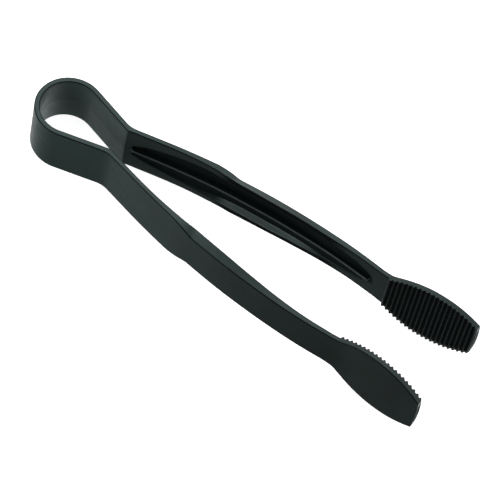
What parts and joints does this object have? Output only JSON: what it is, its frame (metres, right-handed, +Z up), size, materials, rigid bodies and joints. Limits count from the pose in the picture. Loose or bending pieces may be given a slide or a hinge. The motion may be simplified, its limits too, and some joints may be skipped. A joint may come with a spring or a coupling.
{
  "type": "spring serving tongs",
  "caption": "One-piece moulded plastic serving tongs with a keyhole spring bow, channel-section arms and broad spade jaws with ridged gripping faces.",
  "frame": {"origin": "below the middle of the tongs, level with the lowest edge of the jaws as the tongs lie on one edge", "axes": "+X from the spring bow to the jaw tips, +Y towards the left arm, +Z up, square to the plane in which the arms close"},
  "size_m": [0.23, 0.0522, 0.036],
  "materials": {
    "bow_plastic": "satin black moulded polycarbonate",
    "arm_plastic": "satin black moulded polycarbonate, the outer faces of the arms",
    "channel_plastic": "black moulded polycarbonate, polished inside the channels",
    "jaw_plastic": "satin black moulded polycarbonate",
    "ridge_plastic": "black moulded polycarbonate with sharp gripping ridges"
  },
  "bodies": {
    "bow": {"spring_bow": "bow_plastic"},
    "left_arm": {"left_neck": "arm_plastic", "left_web": "arm_plastic", "left_upper_rim": "channel_plastic", "left_lower_rim": "channel_plastic", "left_centre_rib": "channel_plastic", "left_jaw": "jaw_plastic", "left_jaw_ridges": "ridge_plastic"},
    "right_arm": {"right_neck": "arm_plastic", "right_web": "arm_plastic", "right_upper_rim": "channel_plastic", "right_lower_rim": "channel_plastic", "right_centre_rib": "channel_plastic", "right_jaw": "jaw_plastic", "right_jaw_ridges": "ridge_plastic"}
  },
  "joints": [
    {"name": "left_flex", "type": "hinge", "parent": "bow", "child": "left_arm", "pos_m": [-0.095, 0.0113, 0.018], "axis": [0, 0, -1], "range_deg": [0, 6.1], "stiffness_Nm_per_rad": 1.7, "deforming": ["spring_bow"]},
    {"name": "right_flex", "type": "hinge", "parent": "bow", "child": "right_arm", "pos_m": [-0.095, -0.0113, 0.018], "axis": [0, 0, 1], "range_deg": [0, 6.1], "stiffness_Nm_per_rad": 1.7, "deforming": ["spring_bow"]}
  ],
  "couplings": [
    {"joint": "right_flex", "follows": "left_flex", "ratio": 1}
  ]
}
